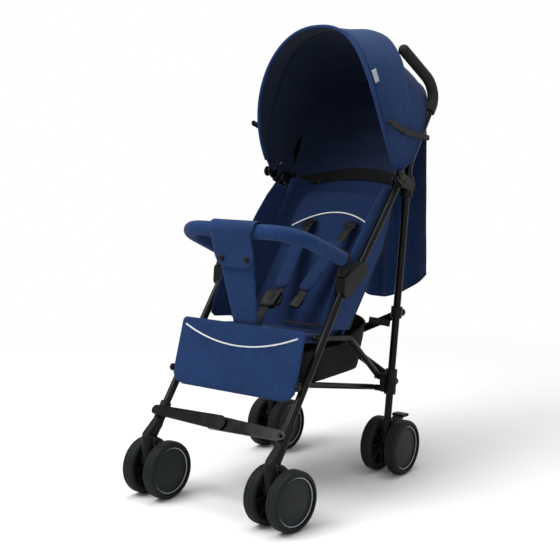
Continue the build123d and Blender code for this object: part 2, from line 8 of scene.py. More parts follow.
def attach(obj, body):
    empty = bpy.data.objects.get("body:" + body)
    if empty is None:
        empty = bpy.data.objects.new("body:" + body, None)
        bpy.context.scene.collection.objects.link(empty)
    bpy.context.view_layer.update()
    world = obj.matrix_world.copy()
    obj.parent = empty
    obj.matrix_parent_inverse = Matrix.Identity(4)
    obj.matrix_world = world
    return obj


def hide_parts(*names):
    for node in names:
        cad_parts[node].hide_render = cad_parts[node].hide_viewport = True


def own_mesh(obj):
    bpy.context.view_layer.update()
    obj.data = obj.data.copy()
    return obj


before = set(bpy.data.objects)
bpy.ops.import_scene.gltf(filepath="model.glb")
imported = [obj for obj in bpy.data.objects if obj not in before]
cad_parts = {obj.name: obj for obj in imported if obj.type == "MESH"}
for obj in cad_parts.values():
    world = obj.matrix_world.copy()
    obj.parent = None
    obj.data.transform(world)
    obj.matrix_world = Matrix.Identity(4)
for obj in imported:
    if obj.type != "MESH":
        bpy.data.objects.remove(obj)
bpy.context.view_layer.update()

# Sizes are in metres. X runs across, +X is the rider's left, the stroller faces -Y and the floor
# is z = 0. Fore-and-aft places are from the rear axle, minus to the front, as in the part's source.
rear_axle_y = 0.151
side_x = 0.183
sides = ((1, "left"), (-1, "right"))
tube_radius = 0.0095

wheel_radius = 0.070
wheel_offset = 0.035
ring_radius = 0.056
ring_width = 0.0046
ring_flatness = 0.36
bead_height = 0.0115
caster_y = -0.520
caster_trail = 0.029
caster_turns = {"left": -8.0, "right": -3.0}

canopy_hinge = (-0.005, 0.768)
canopy_front_angle = 80.0
canopy_sweep = 28.0
canopy_seam_angle = 105.5
canopy_rear_start = 92.0
canopy_rear_angle = 137.0
canopy_rear_front_sweep = 22.0
canopy_rear_sweep = 25.0
rear_sweep_top = 0.55
# A bow is its half width, its rise and the power that squares its shoulders.
rim_bow = (0.1955, 0.372, 2.36)
seam_bow = (0.2065, 0.3835, 2.75)
rear_front_bow = (0.1965, 0.3585, 2.5)
rear_middle_bow = (0.1885, 0.355, 2.45)
rear_bow = (0.199, 0.370, 2.9)
lining_bow = (0.195, 0.364, 2.9)
hinge_cap_x = 0.2075
lining_half_width = 0.193
lining_depth = 0.140
lining_foot = 0.745
lining_length = 0.32
lining_band = 0.036
lining_thickness = 0.0016
curtain_half_width = 0.171
curtain_side_hem = 0.494
curtain_middle_hem = 0.412

back_foot = (-0.1729, 0.367)
back_angle = 38.3
back_length = 0.432
back_width = 0.296
back_thickness = 0.028
back_arc_half = 0.128
back_arc_top = 0.357
back_arc_bend = 3.0
back_sheet_half = 0.163

seat_front = (-0.384, 0.389)
seat_slope = 8.1
seat_width = 0.300
seat_length = 0.186
seat_thickness = 0.032

legrest_top = (-0.379, 0.418)
legrest_bottom = (-0.428, 0.266)
legrest_width = 0.356
legrest_thickness = 0.014
legrest_arc_half = 0.166
knob_x = 0.186

bumper_foot = (-0.226, 0.574)
bumper_reach = 0.195
bumper_inward = 0.014
bumper_rise_angle = 22.5
bumper_corner = 0.070
bumper_radius = 0.020
sleeve_half = 0.0655

basket_half = 0.132
webbing_width = 0.025
basket_strap_width = 0.017
cloth_thickness = 0.0018
panel_thickness = 0.0022
piping_radius = 0.0021


def at(x, y, z):
    """A point, with y from the rear axle."""
    return Vector((x, y + rear_axle_y, z))


def placed(spot, across, along):
    """A place with x across, y along and z square to both."""
    place = Matrix((across, along, across.cross(along))).transposed().to_4x4()
    place.translation = spot
    return place


def side_frame(foot, along):
    """A place in the middle: x across the stroller, y along a side-view direction, z to its front."""
    return placed(at(0, *foot), Vector((1, 0, 0)), along.normalized())


def side_direction(angle):
    """Up and back at an angle from upright."""
    return Vector((0, sin(radians(angle)), cos(radians(angle))))


legrest_rise = at(0, *legrest_top) - at(0, *legrest_bottom)
back_place = side_frame(back_foot, side_direction(back_angle))
seat_place = side_frame(seat_front, side_direction(90 + seat_slope))
legrest_place = side_frame(legrest_bottom, legrest_rise)
bumper_up = side_direction(bumper_rise_angle)
bumper_forward = Vector((0, -bumper_up.z, bumper_up.y))
bumper_place = side_frame(bumper_foot, bumper_forward)
bumper_middle = at(0, *bumper_foot) + bumper_forward * bumper_reach


# Materials


def linear(colour):
    """A hex sRGB colour in linear light."""
    parts = [int(colour[i:i + 2], 16) / 255 for i in (1, 3, 5)]
    return [c / 12.92 if c <= 0.04045 else ((c + 0.055) / 1.055) ** 2.4 for c in parts] + [1.0]


def set_sockets(tree, node, sockets):
    for name, value in sockets.items():
        if isinstance(value, bpy.types.NodeSocket):
            tree.links.new(value, node.inputs[name])
        else:
            node.inputs[name].default_value = value


def add_node(tree, kind, sockets, **settings):
    """One node with its settings; a socket takes a value or another node's output."""
    node = tree.nodes.new(kind)
    for name, value in settings.items():
        setattr(node, name, value)
    set_sockets(tree, node, sockets)
    return node


def start_material(name):
    material = bpy.data.materials.new(name)
    material.use_nodes = True
    return material, material.node_tree


def complete(material, factor, tones, sockets, relief=None):
    """Ends a material: two tones mixed by a factor, other sockets of its shader, and relief from a
    height with its strength and depth."""
    tree = material.node_tree
    shader = tree.nodes["Principled BSDF"]
    dark, light = tones
    colour = add_node(tree, "ShaderNodeMix", {0: factor, 6: linear(dark), 7: linear(light)},
                      data_type="RGBA")
    set_sockets(tree, shader, {"Base Color": colour.outputs[2], **sockets})
    if relief is not None:
        height, strength, depth = relief
        bump = add_node(tree, "ShaderNodeBump", {"Height": height, "Strength": strength, "Distance": depth})
        set_sockets(tree, shader, {"Normal": bump.outputs[0]})
    return material


def bands(spacing):
    """The Wave texture's scale for stripes this far apart."""
    return pi / 10 / spacing


def woven_polyester(name, dark, light, roughness=0.9, sheen=0.05):
    """Piece-dyed polyester with a linen look: uneven threads give fine streaks both ways, and the
    nap a soft sheen. The threads are 0.6 mm apart and are drawn at 1.8 mm, so that they show."""
    material, tree = start_material(name)
    thread = 0.0018
    slub_width = 0.0016
    slub_length = 0.022
    cloud = 0.09
    weave = add_node(tree, "ShaderNodeUVMap", {}, uv_map="weave").outputs["UV"]
    streaks = []
    for stretch in ((1 / slub_width, 1 / slub_length, 1), (1 / slub_length, 1 / slub_width, 1)):
        laid = add_node(tree, "ShaderNodeMapping", {"Vector": weave, "Scale": stretch})
        slub = add_node(tree, "ShaderNodeTexNoise",
                        {"Vector": laid.outputs[0], "Scale": 1.0, "Detail": 2.0})
        streaks.append(slub.outputs["Fac"])
    both = add_node(tree, "ShaderNodeMath", {0: streaks[0], 1: streaks[1]}, operation="ADD")
    cloudy = add_node(tree, "ShaderNodeTexNoise", {"Vector": weave, "Scale": 1 / cloud, "Detail": 2.0})
    tone = add_node(tree, "ShaderNodeMath", {0: cloudy.outputs["Fac"], 1: 0.6, 2: both.outputs[0]},
                    operation="MULTIPLY_ADD")
    spread = add_node(tree, "ShaderNodeMapRange", {0: tone.outputs[0], 1: 0.95, 2: 1.65})
    threads = []
    for direction in "XY":
        wave = add_node(tree, "ShaderNodeTexWave", {"Vector": weave, "Scale": bands(thread)},
                        bands_direction=direction)
        threads.append(wave.outputs["Fac"])
    cross = add_node(tree, "ShaderNodeMath", {0: threads[0], 1: threads[1]}, operation="ADD")
    raised = add_node(tree, "ShaderNodeMath", {0: both.outputs[0], 1: 0.8, 2: cross.outputs[0]},
                      operation="MULTIPLY_ADD")
    return complete(material, spread.outputs[0], (dark, light), {
        "Roughness": roughness,
        "Sheen Weight": sheen,
        "Sheen Roughness": 0.45,
        "Specular IOR Level": 0.15,
    }, (raised.outputs[0], 0.35, 0.0004))


def grained(name, tones, gloss, grain, detail, relief, patch):
    """A skin with a fine grain, and wider patches that are a little lighter and duller."""
    material, tree = start_material(name)
    place = add_node(tree, "ShaderNodeTexCoord", {}).outputs["Object"]
    fine = add_node(tree, "ShaderNodeTexNoise", {"Vector": place, "Scale": 1 / grain, "Detail": detail})
    patches = add_node(tree, "ShaderNodeTexNoise", {"Vector": place, "Scale": 1 / patch, "Detail": 3.0})
    dull = add_node(tree, "ShaderNodeMapRange",
                    {0: patches.outputs["Fac"], 1: 0.3, 2: 0.7, 3: gloss[0], 4: gloss[1]})
    return complete(material, patches.outputs["Fac"], tones,
                    {"Roughness": dull.outputs[0], "Specular IOR Level": 0.12},
                    (fine.outputs["Fac"], *relief))


def powder_coated_steel():
    """Steel tube under black gloss powder coat: a dielectric film whose faint orange peel, 2 mm
    across, breaks up long highlights."""
    return grained("powder_coated_steel_black", ("#050606", "#0a0b0c"), gloss=(0.17, 0.30), grain=0.002,
                   detail=1.0, relief=(0.12, 0.0003), patch=0.045)


def moulded_plastic(name, dark, light, roughness, grain, depth):
    """Injection-moulded plastic: a spark-eroded grain from the mould, with slightly glossier and
    duller patches where hands and flow lines leave them."""
    return grained(name, (dark, light), gloss=(roughness - 0.06, roughness + 0.08), grain=grain,
                   detail=2.0, relief=(0.3, depth), patch=0.03)


def foam_grip():
    """Closed-cell EVA foam: a dry, matt skin pitted by cells about 1 mm across."""
    material, tree = start_material("eva_foam_black")
    cell = 0.0012
    place = add_node(tree, "ShaderNodeTexCoord", {}).outputs["Object"]
    cells = add_node(tree, "ShaderNodeTexVoronoi", {"Vector": place, "Scale": 1 / cell})
    return complete(material, cells.outputs["Distance"], ("#0d0e0f", "#1a1b1d"),
                    {"Roughness": 0.82, "Specular IOR Level": 0.3},
                    (cells.outputs["Distance"], 0.4, 0.0003))


def woven_webbing():
    """Polypropylene webbing: ribs 1.5 mm apart across the strap, drawn at 2 mm, with a dull shine."""
    material, tree = start_material("polypropylene_webbing_black")
    rib = 0.002
    cord = 0.003
    weave = add_node(tree, "ShaderNodeUVMap", {}, uv_map="weave").outputs["UV"]
    ribs = add_node(tree, "ShaderNodeTexWave", {"Vector": weave, "Scale": bands(rib)}, bands_direction="Y")
    cords = add_node(tree, "ShaderNodeTexWave", {"Vector": weave, "Scale": bands(cord)}, bands_direction="X")
    raised = add_node(tree, "ShaderNodeMath", {0: ribs.outputs["Fac"], 1: cords.outputs["Fac"]},
                      operation="ADD")
    return complete(material, ribs.outputs["Fac"], ("#08090a", "#131416"),
                    {"Roughness": 0.62, "Specular IOR Level": 0.2}, (raised.outputs[0], 0.5, 0.0005))


def reflective_tape():
    """Retroreflective piping: glass beads on grey cloth give an even silver with a fine sparkle."""
    material, tree = start_material("retroreflective_tape_silver")
    bead = 0.0009
    place = add_node(tree, "ShaderNodeTexCoord", {}).outputs["Object"]
    beads = add_node(tree, "ShaderNodeTexNoise", {"Vector": place, "Scale": 1 / bead, "Detail": 1.0})
    return complete(material, beads.outputs["Fac"], ("#b4b8bc", "#dfe2e4"), {"Roughness": 0.38},
                    (beads.outputs["Fac"], 0.3, 0.0002))


def stamped_foil():
    """Hot-stamped foil on the wheels' beads: a satin silver film with small worn, duller spots."""
    material, tree = start_material("hot_stamped_foil_grey")
    wear = 0.006
    place = add_node(tree, "ShaderNodeTexCoord", {}).outputs["Object"]
    worn = add_node(tree, "ShaderNodeTexNoise", {"Vector": place, "Scale": 1 / wear, "Detail": 3.0})
    dull = add_node(tree, "ShaderNodeMapRange", {0: worn.outputs["Fac"], 1: 0.35, 2: 0.7, 3: 0.3, 4: 0.55})
    return complete(material, worn.outputs["Fac"], ("#a6a9ac", "#c2c5c8"),
                    {"Metallic": 0.15, "Roughness": dull.outputs[0]})


def studio_floor():
    """Matt white paint, a little brighter and darker in wide patches, lost in white further out."""
    material, tree = start_material("matt_white_paint")
    patch = 0.5
    shown_to = 0.7
    lost_from = 2.2
    place = add_node(tree, "ShaderNodeTexCoord", {}).outputs["Object"]
    patches = add_node(tree, "ShaderNodeTexNoise", {"Vector": place, "Scale": 1 / patch, "Detail": 2.0})
    complete(material, patches.outputs["Fac"], ("#f4f4f4", "#fafafa"),
             {"Roughness": 0.9, "Specular IOR Level": 0.1})
    paint = tree.nodes["Principled BSDF"]
    white = add_node(tree, "ShaderNodeEmission", {"Color": (1, 1, 1, 1), "Strength": 1.0})
    away = add_node(tree, "ShaderNodeVectorMath", {0: place}, operation="LENGTH")
    fade = add_node(tree, "ShaderNodeMapRange", {0: away.outputs["Value"], 1: shown_to, 2: lost_from})
    blend = add_node(tree, "ShaderNodeMixShader",
                     {0: fade.outputs[0], 1: paint.outputs[0], 2: white.outputs[0]})
    tree.links.new(blend.outputs[0], tree.nodes["Material Output"].inputs["Surface"])
    return material


navy_cloth = woven_polyester("woven_polyester_navy", "#122747", "#1d3866")
# The seat, backrest, back sheet and shoulder pads are the same navy cloth drawn darker: painted shade inside
# the seat.
seat_cloth_painted_shade = woven_polyester("woven_polyester_navy_painted_shade", "#0e1e3a", "#172d54", sheen=0.04)
# The canopy's inner faces and the hood lining are the navy cloth drawn darker: painted shade inside the
# hood.
lining_painted_shade = woven_polyester("woven_polyester_lining_painted_shade", "#141d30", "#1d2943", roughness=0.95)
navy_binding = woven_polyester("polyester_binding_tape", "#0e1d38", "#152a4e", roughness=0.8)
black_cloth = woven_polyester("woven_polyester_black", "#08090a", "#101113", roughness=0.85, sheen=0.03)
tube_finish = powder_coated_steel()
black_plastic = moulded_plastic("moulded_polypropylene_black", "#08090a", "#0f1011", 0.46, 0.0011, 0.0002)
gloss_plastic = moulded_plastic("moulded_abs_gloss_black", "#050606", "#090a0b", 0.16, 0.004, 0.00005)
buckle_plastic = moulded_plastic("moulded_acetal_black", "#070808", "#0d0e0f", 0.32, 0.002, 0.0001)
hub_plastic = moulded_plastic("moulded_polypropylene_charcoal", "#1a1d1f", "#24282a", 0.44, 0.0011, 0.0002)
tyre_rubber = moulded_plastic("moulded_eva_rubber_black", "#141719", "#1d2022", 0.62, 0.0016, 0.0003)
grip_foam = foam_grip()
webbing = woven_webbing()
silver_tape = reflective_tape()
ring_foil = stamped_foil()
label_cloth = woven_polyester("woven_polyester_grey_tab", "#8a9099", "#a9afb7")


# Ways of making a piece


def add_piece(name, mesh, finish):
    mesh.name = name
    mesh.shade_smooth()
    mesh.materials.clear()
    mesh.materials.append(finish)
    made = bpy.data.objects.new(name, mesh)
    bpy.context.scene.collection.objects.link(made)
    return made


def from_shape(name, shape, finish):
    """A piece from a bmesh."""
    mesh = bpy.data.meshes.new(name)
    shape.to_mesh(mesh)
    shape.free()
    return add_piece(name, mesh, finish)


def evaluated_mesh(made):
    """The mesh that an object's curve or modifiers give."""
    return bpy.data.meshes.new_from_object(made.evaluated_get(bpy.context.evaluated_depsgraph_get()))


def lay_weave(made, across, along):
    """The weave's own map in metres, along two directions of the piece."""
    layer = made.data.uv_layers.get("weave") or made.data.uv_layers.new(name="weave")
    for loop in made.data.loops:
        spot = made.data.vertices[loop.vertex_index].co
        layer.data[loop.index].uv = (spot.dot(across), spot.dot(along))


def cloth_on(name, columns, rows, surface, size, finish):
    """A sheet laid on a surface of shares (u, v), with its weave in metres."""
    shape = bmesh.new()
    bmesh.ops.create_grid(shape, x_segments=columns, y_segments=rows, size=0.5)
    layer = shape.loops.layers.uv.new("weave")
    for face in shape.faces:
        for loop in face.loops:
            spot = loop.vert.co
            loop[layer].uv = ((spot.x + 0.5) * size[0], (spot.y + 0.5) * size[1])
    for vert in shape.verts:
        vert.co = surface(vert.co.x + 0.5, vert.co.y + 0.5)
    bmesh.ops.remove_doubles(shape, verts=shape.verts, dist=1e-6)
    return from_shape(name, shape, finish)


def finish_sheet(made, thickness, offset=0.0, back=None):
    """Gives a sheet its thickness, and its back and edges another finish if there is one."""
    wall = made.modifiers.new("thickness", "SOLIDIFY")
    wall.thickness = thickness
    wall.offset = offset
    if back is not None:
        made.data.materials.append(back)
        wall.material_offset = 1
    return made


def refine(made):
    smoother = made.modifiers.new("smooth", "SUBSURF")
    smoother.levels = 1
    smoother.render_levels = 1
    return made


def roll(name, points, radius, finish, cyclic=False):
    """A round cord or hem along points."""
    curve = bpy.data.curves.new(name, "CURVE")
    curve.dimensions = "3D"
    curve.bevel_depth = radius
    curve.bevel_resolution = 2
    curve.use_fill_caps = True
    line = curve.splines.new("POLY")
    line.points.add(len(points) - 1)
    for spot, point in zip(line.points, points):
        spot.co = (*point, 1)
    line.use_cyclic_u = cyclic
    holder = bpy.data.objects.new(name, curve)
    bpy.context.scene.collection.objects.link(holder)
    mesh = evaluated_mesh(holder)
    bpy.data.objects.remove(holder)
    bpy.data.curves.remove(curve)
    made = add_piece(name, mesh, finish)
    lay_weave(made, Vector((1, 0.6, 0)), Vector((0, 0.4, 1)))
    return made


def smooth_line(points, share):
    """A point on a smooth line through points."""
    last = len(points) - 1
    i = min(int(share * last), last - 1)
    t = share * last - i
    before = points[max(i - 1, 0)]
    start = points[i]
    end = points[i + 1]
    after = points[min(i + 2, last)]
    bend = 2 * before - 5 * start + 4 * end - after
    twist = 3 * start - before - 3 * end + after
    return 0.5 * (2 * start + (end - before) * t + bend * t ** 2 + twist * t ** 3)


def between(first, second, share):
    return [a + (b - a) * share for a, b in zip(first, second)]


def along_line(points, share):
    """A point along straight runs between points, by their share of the count."""
    spot = share * (len(points) - 1)
    i = min(int(spot), len(points) - 2)
    return between(points[i], points[i + 1], spot - i)


def signed_power(value, power):
    """A power that keeps the sign."""
    return abs(value) ** power * (1 if value > 0 else -1)


def near(value, target, reach):
    return abs(value - target) < reach


def ripple(spot, size, depth):
    """A small wave of cloth, the same each run."""
    return depth * noise.noise(spot / size)


def strap(name, points, width, facing):
    """Webbing that follows points, flat towards a side."""
    length = sum((b - a).length for a, b in zip(points, points[1:]))

    def surface(u, v):
        middle = smooth_line(points, v)
        ahead = smooth_line(points, min(v + 0.01, 1)) - smooth_line(points, max(v - 0.01, 0))
        across = ahead.cross(facing).normalized()
        return middle + across * (u - 0.5) * width

    made = cloth_on(name, 4, 10 * (len(points) - 1), surface, (width, length), webbing)
    return finish_sheet(made, cloth_thickness)


def ride_and_fold(made, body):
    """The piece moves with a body, on a mesh of its own."""
    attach(made, body)
    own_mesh(made)
    return made


def round_edges(shape, edges, offset, segments):
    bmesh.ops.bevel(shape, geom=edges, offset=offset, offset_type="OFFSET", segments=segments, profile=0.5,
                    affect="EDGES", material=-1)


def pad_block(width, length, thickness, corner, top_corner=None):
    """A board with round corners, from its foot upwards."""
    shape = bmesh.new()
    bmesh.ops.create_cube(shape, size=1.0)
    bmesh.ops.scale(shape, vec=(width, length, thickness), verts=shape.verts)
    bmesh.ops.translate(shape, vec=(0, length / 2, 0), verts=shape.verts)
    upright = [edge for edge in shape.edges
               if abs(edge.verts[0].co.z - edge.verts[1].co.z) > thickness / 2]
    upper = [edge for edge in upright if edge.verts[0].co.y > length / 2]
    lower = [edge for edge in upright if edge not in upper]
    round_edges(shape, upper, top_corner or corner, 8)
    round_edges(shape, lower, corner, 8)
    rims = [edge for edge in shape.edges if near(edge.verts[0].co.z, edge.verts[1].co.z, 1e-6)]
    round_edges(shape, rims, thickness * 0.4, 3)
    return shape


def round_caps(name, spots, radius, depth, finish):
    """Caps that face across the stroller, with round rims."""
    shape = bmesh.new()
    for spot in spots:
        facing = Matrix.Translation(spot) @ Matrix.Rotation(radians(90), 4, "Y")
        bmesh.ops.create_cone(shape, cap_ends=True, segments=36, radius1=radius, radius2=radius, depth=depth,
                              matrix=facing)
    rims = [edge for edge in shape.edges if near(edge.verts[0].co.x, edge.verts[1].co.x, 1e-6)]
    round_edges(shape, rims, 0.3 * depth, 3)
    return from_shape(name, shape, finish)


# Padded pieces


def blow_up(pad, sewn, cap, pressure):
    """Swells a pad between its seams, and keeps each point within the cap."""
    steps = 20
    start = [vert.co.copy() for vert in pad.data.vertices]
    seam = pad.vertex_groups.new(name="sewn")
    seam.add([i for i, spot in enumerate(start) if sewn(spot)], 1.0, "REPLACE")
    cloth = pad.modifiers.new("cloth", "CLOTH")
    cloth.settings.vertex_group_mass = "sewn"
    cloth.settings.use_pressure = True
    cloth.settings.uniform_pressure_force = pressure
    cloth.settings.effector_weights.gravity = 0
    cloth.settings.bending_stiffness = 0.8
    cloth.point_cache.frame_start = 1
    cloth.point_cache.frame_end = steps
    for step in range(1, steps + 1):
        bpy.context.scene.frame_set(step)
    swollen = pad.evaluated_get(bpy.context.evaluated_depsgraph_get())
    ends = [vert.co.copy() for vert in swollen.data.vertices]
    pad.modifiers.remove(cloth)
    for vert, before, after in zip(pad.data.vertices, start, ends):
        move = after - before
        vert.co = before + move * min(1.0, cap / max(move.length, 1e-9))
    pad.vertex_groups.clear()
    bpy.context.scene.frame_set(1)


def stuffed(name, shape, sewn, cap, finish, place, voxel=0.0055, pressure=4.0):
    """A padded piece: an even mesh of the shape, swollen between its seams, then put in its place."""
    rough = from_shape(name + "_rough", shape, finish)
    even = rough.modifiers.new("even", "REMESH")
    even.mode = "VOXEL"
    even.voxel_size = voxel
    mesh = evaluated_mesh(rough)
    bpy.data.objects.remove(rough)
    pad = add_piece(name, mesh, finish)
    blow_up(pad, sewn, cap, pressure)
    lay_weave(pad, Vector((1, 0, 0)), Vector((0, 1, 0.7)))
    pad.data.transform(place)
    return refine(pad)


# Seat


def back_arc(x):
    """How far up the backrest the silver arc runs."""
    return back_arc_top - back_arc_bend * x * x


def make_backrest():
    """The backrest's pad, sewn along the arc, in two channels below it and once across."""
    depth = 0.016
    corner = 0.045
    swell = 0.0075
    seam = 0.0045
    channel_x = 0.046
    cross_seam = 0.135
    block = pad_block(back_width - 0.008, back_length - 0.006, depth, corner)

    def sewn(spot):
        side = abs(spot.x) > back_width / 2 - 0.012
        end = not 0.01 < spot.y < back_length - 0.016
        edge = abs(spot.z) < 0.003 and (side or end)
        arc = near(spot.y, back_arc(spot.x), seam) and abs(spot.x) < back_arc_half
        channel = spot.y < back_arc(spot.x) and near(abs(spot.x), channel_x, seam)
        across = near(spot.y, cross_seam, seam)
        return edge or (spot.z > 0 and (arc or channel or across))

    place = back_place @ Matrix.Translation((0, 0.002, back_thickness / 2))
    # Darker navy here is painted shade inside the seat.
    pad = stuffed("backrest_cushion", block, sewn, swell, seat_cloth_painted_shade, place)
    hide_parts("backrest_pad")
    ride_and_fold(pad, "backrest")
    points = []
    for step in range(25):
        x = back_arc_half * (step / 12 - 1)
        points.append(back_place @ Vector((x, back_arc(x), back_thickness - 0.0035)))
    ride_and_fold(roll("backrest_piping", points, piping_radius, silver_tape), "backrest")


def make_back_sheet():
    """The cloth behind the backrest's pad, drawn forward at its sides into wings beside the rider."""
    half = back_sheet_half
    foot = 0.004
    corner_height = 0.430
    middle_rise = 0.050
    wing_foot = 0.046
    wing_growth = 0.030
    hollow = 0.006

    def surface(u, v):
        share = 2 * u - 1
        x = half * share * (1 - 0.03 * v ** 4)
        top = corner_height + middle_rise * max(1 - share ** 2, 0) ** 0.4
        y = foot + (top - foot) * v
        wing = (wing_foot + wing_growth * v ** 2) * abs(share) ** 9
        z = -0.004 + wing - hollow * sin(pi * v) * (1 - share ** 2)
        return back_place @ Vector((x, y, z + ripple(Vector((x, y, 0.4)), 0.05, 0.002)))

    # Darker navy here is painted shade inside the seat.
    cloth = cloth_on("back_sheet", 64, 50, surface, (2 * half, 0.45), seat_cloth_painted_shade)
    finish_sheet(cloth, panel_thickness, -1.0)
    ride_and_fold(cloth, "backrest")


def make_seat():
    """The seat cushion, its back cut to lie along the backrest."""
    depth = 0.020
    corner = 0.022
    swell = 0.006
    seam = 0.0045
    channels = (0.066, 0.124)
    block = pad_block(seat_width - 0.006, seat_length, depth, corner)

    def sewn(spot):
        side = abs(spot.x) > seat_width / 2 - 0.010
        end = not 0.008 < spot.y < seat_length - 0.008
        edge = abs(spot.z) < 0.003 and (side or end)
        channel = any(near(spot.y, y, seam) for y in channels)
        return edge or (spot.z > 0 and channel)

    lean = 0.35 * tan(radians(back_angle + seat_slope))
    cut = Matrix(((1, 0, 0, 0), (0, 1, lean, 0), (0, 0, 1, 0), (0, 0, 0, 1)))
    place = seat_place @ Matrix.Translation((0, 0.002, seat_thickness / 2)) @ cut
    # Darker navy here is painted shade inside the seat.
    pad = stuffed("seat_cushion", block, sewn, swell, seat_cloth_painted_shade, place)
    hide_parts("seat_pad")
    ride_and_fold(pad, "left_front_leg")


def make_legrest():
    """The legrest's flap with its silver arc, and the knobs at its sides."""
    length = legrest_rise.length
    depth = 0.008
    foot_corner = 0.034
    top_corner = 0.014
    swell = 0.0045
    arc_dip = 0.038
    arc_reach = 0.172
    block = pad_block(legrest_width + 0.012, length + 0.006, depth, foot_corner, top_corner)

    def arc(x):
        return length - 0.010 - arc_dip * (1 - (x / arc_reach) ** 2)

    def sewn(spot):
        edge = abs(spot.x) > legrest_width / 2 - 0.005 or not 0.010 < spot.y < length - 0.004
        return edge or near(spot.y, arc(spot.x), 0.004)

    place = legrest_place @ Matrix.Translation((0, 0.002, legrest_thickness / 2))
    pad = stuffed("legrest_flap", block, sewn, swell, navy_cloth, place, voxel=0.0045, pressure=3.0)
    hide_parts("legrest")
    ride_and_fold(pad, "legrest")
    points = []
    for step in range(33):
        x = legrest_arc_half * (step / 16 - 1)
        points.append(legrest_place @ Vector((x, arc(x), legrest_thickness / 2 + 0.0052)))
    ride_and_fold(roll("legrest_piping", points, piping_radius, silver_tape), "legrest")
    spots = [legrest_place @ Vector((x, 0.24 * length, legrest_thickness / 2)) for x in (-knob_x, knob_x)]
    knobs = round_caps("legrest_side_knobs", spots, 0.009, 0.009, black_plastic)
    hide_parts("legrest_knobs")
    ride_and_fold(knobs, "legrest")


# Bumper bar


def bumper_shape(radius):
    """The bar's tube: an arm, a bend, the front run, a bend and an arm, in the bumper's own plane."""
    shape = bmesh.new()
    arm = Vector((-bumper_inward, bumper_reach, 0))
    turn = acos(bumper_inward / arm.length)
    tangent = bumper_corner * tan(turn / 2)
    start = Vector((side_x, 0, 0))
    facing = arm.to_track_quat("Z", "Y").to_matrix().to_4x4()
    bmesh.ops.create_circle(shape, cap_ends=True, segments=24, radius=radius,
                            matrix=Matrix.Translation(start) @ facing)

    def push(edges, move, times):
        for _ in range(times):
            grown = bmesh.ops.extrude_edge_only(shape, edges=edges)["geom"]
            bmesh.ops.translate(shape, vec=move / times,
                                verts=[g for g in grown if isinstance(g, bmesh.types.BMVert)])
            edges = [g for g in grown if isinstance(g, bmesh.types.BMEdge)]
        return edges

    def swing(edges, centre):
        turned = bmesh.ops.spin(shape, geom=edges, cent=centre, axis=(0, 0, 1), angle=turn, steps=14,
                                use_merge=False, use_duplicate=False)
        return [g for g in turned["geom_last"] if isinstance(g, bmesh.types.BMEdge)]

    forward = arm.normalized()
    inward = Vector((-forward.y, forward.x, 0))
    straight = forward * (arm.length - tangent)
    run = 2 * (side_x - bumper_inward) - 2 * tangent
    rim = push(shape.edges[:], straight, 8)
    rim = swing(rim, start + straight + inward * bumper_corner)
    rim = push(rim, Vector((-run, 0, 0)), 12)
    rim = swing(rim, Vector((-run / 2, bumper_reach - bumper_corner, 0)))
    rim = push(rim, Vector((straight.x, -straight.y, 0)), 8)
    bmesh.ops.contextual_create(shape, geom=rim)
    bmesh.ops.recalc_face_normals(shape, faces=shape.faces)
    return shape


def make_bumper():
    """The padded bar, with a seam along the top of each arm and bend."""
    swell = 0.0035
    block = bumper_shape(bumper_radius - 0.002)

    def sewn(spot):
        return near(spot.z, bumper_radius, 0.0042) and abs(spot.x) > 0.06

    cover = stuffed("bumper_cover", block, sewn, swell, navy_cloth, bumper_place, voxel=0.0045)
    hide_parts("bumper_bar")
    ride_and_fold(cover, "bumper")


def around_bumper(turn, radius):
    """A point around the bar's middle, turned from its top to its front, in the side view."""
    lean = radians(turn)
    return bumper_middle + Vector((0, -radius * sin(lean), radius * cos(lean)))


def make_bumper_sleeve():
    """Cloth that wraps the bar's middle and hangs in front as a flap with two snaps."""
    half = sleeve_half
    snap_x = 0.037
    points = [around_bumper(turn, bumper_radius + 0.003) for turn in range(-150, 111, 20)]
    flap = ((-0.424, 0.625), (-0.4175, 0.600), (-0.4140, 0.578), (-0.4130, 0.562))
    points += [at(0, y, z) for y, z in flap]

    def surface(u, v):
        corner = max(v - 0.86, 0) / 0.14
        narrow = 1 - 0.12 * min(max(v - 0.66, 0) / 0.1, 1) - 0.40 * corner ** 3
        spot = smooth_line(points, v)
        return spot + Vector((half * narrow * (2 * u - 1), ripple(Vector((u, v, 0.2)), 0.2, 0.0008), 0))

    sleeve = cloth_on("bumper_sleeve", 28, 80, surface, (2 * half, 0.20), navy_cloth)
    finish_sheet(sleeve, panel_thickness)
    ride_and_fold(sleeve, "bumper")
    shape = bmesh.new()
    for x in (-snap_x, snap_x):
        facing = Matrix.Translation(at(x, -0.4162, 0.583)) @ Matrix.Rotation(radians(90), 4, "X")
        bmesh.ops.create_uvsphere(shape, u_segments=20, v_segments=10, radius=0.0062,
                                  matrix=facing @ Matrix.Diagonal((1, 1, 0.45, 1)))
        bmesh.ops.create_cone(shape, cap_ends=True, segments=24, radius1=0.0082, radius2=0.0074, depth=0.002,
                              matrix=facing)
    ride_and_fold(from_shape("bumper_snaps", shape, buckle_plastic), "bumper")


def make_bumper_hems():
    """Binding tape around the two ends of the bumper's cover."""
    steps = 28
    for side, word in sides:
        ring = []
        for step in range(steps):
            turn = 2 * pi * step / steps
            spot = Vector((side * side_x + bumper_radius * cos(turn), 0.010, bumper_radius * sin(turn)))
            ring.append(bumper_place @ spot)
        ride_and_fold(roll(f"{word}_bumper_hem", ring, 0.0022, black_cloth, cyclic=True), "bumper")


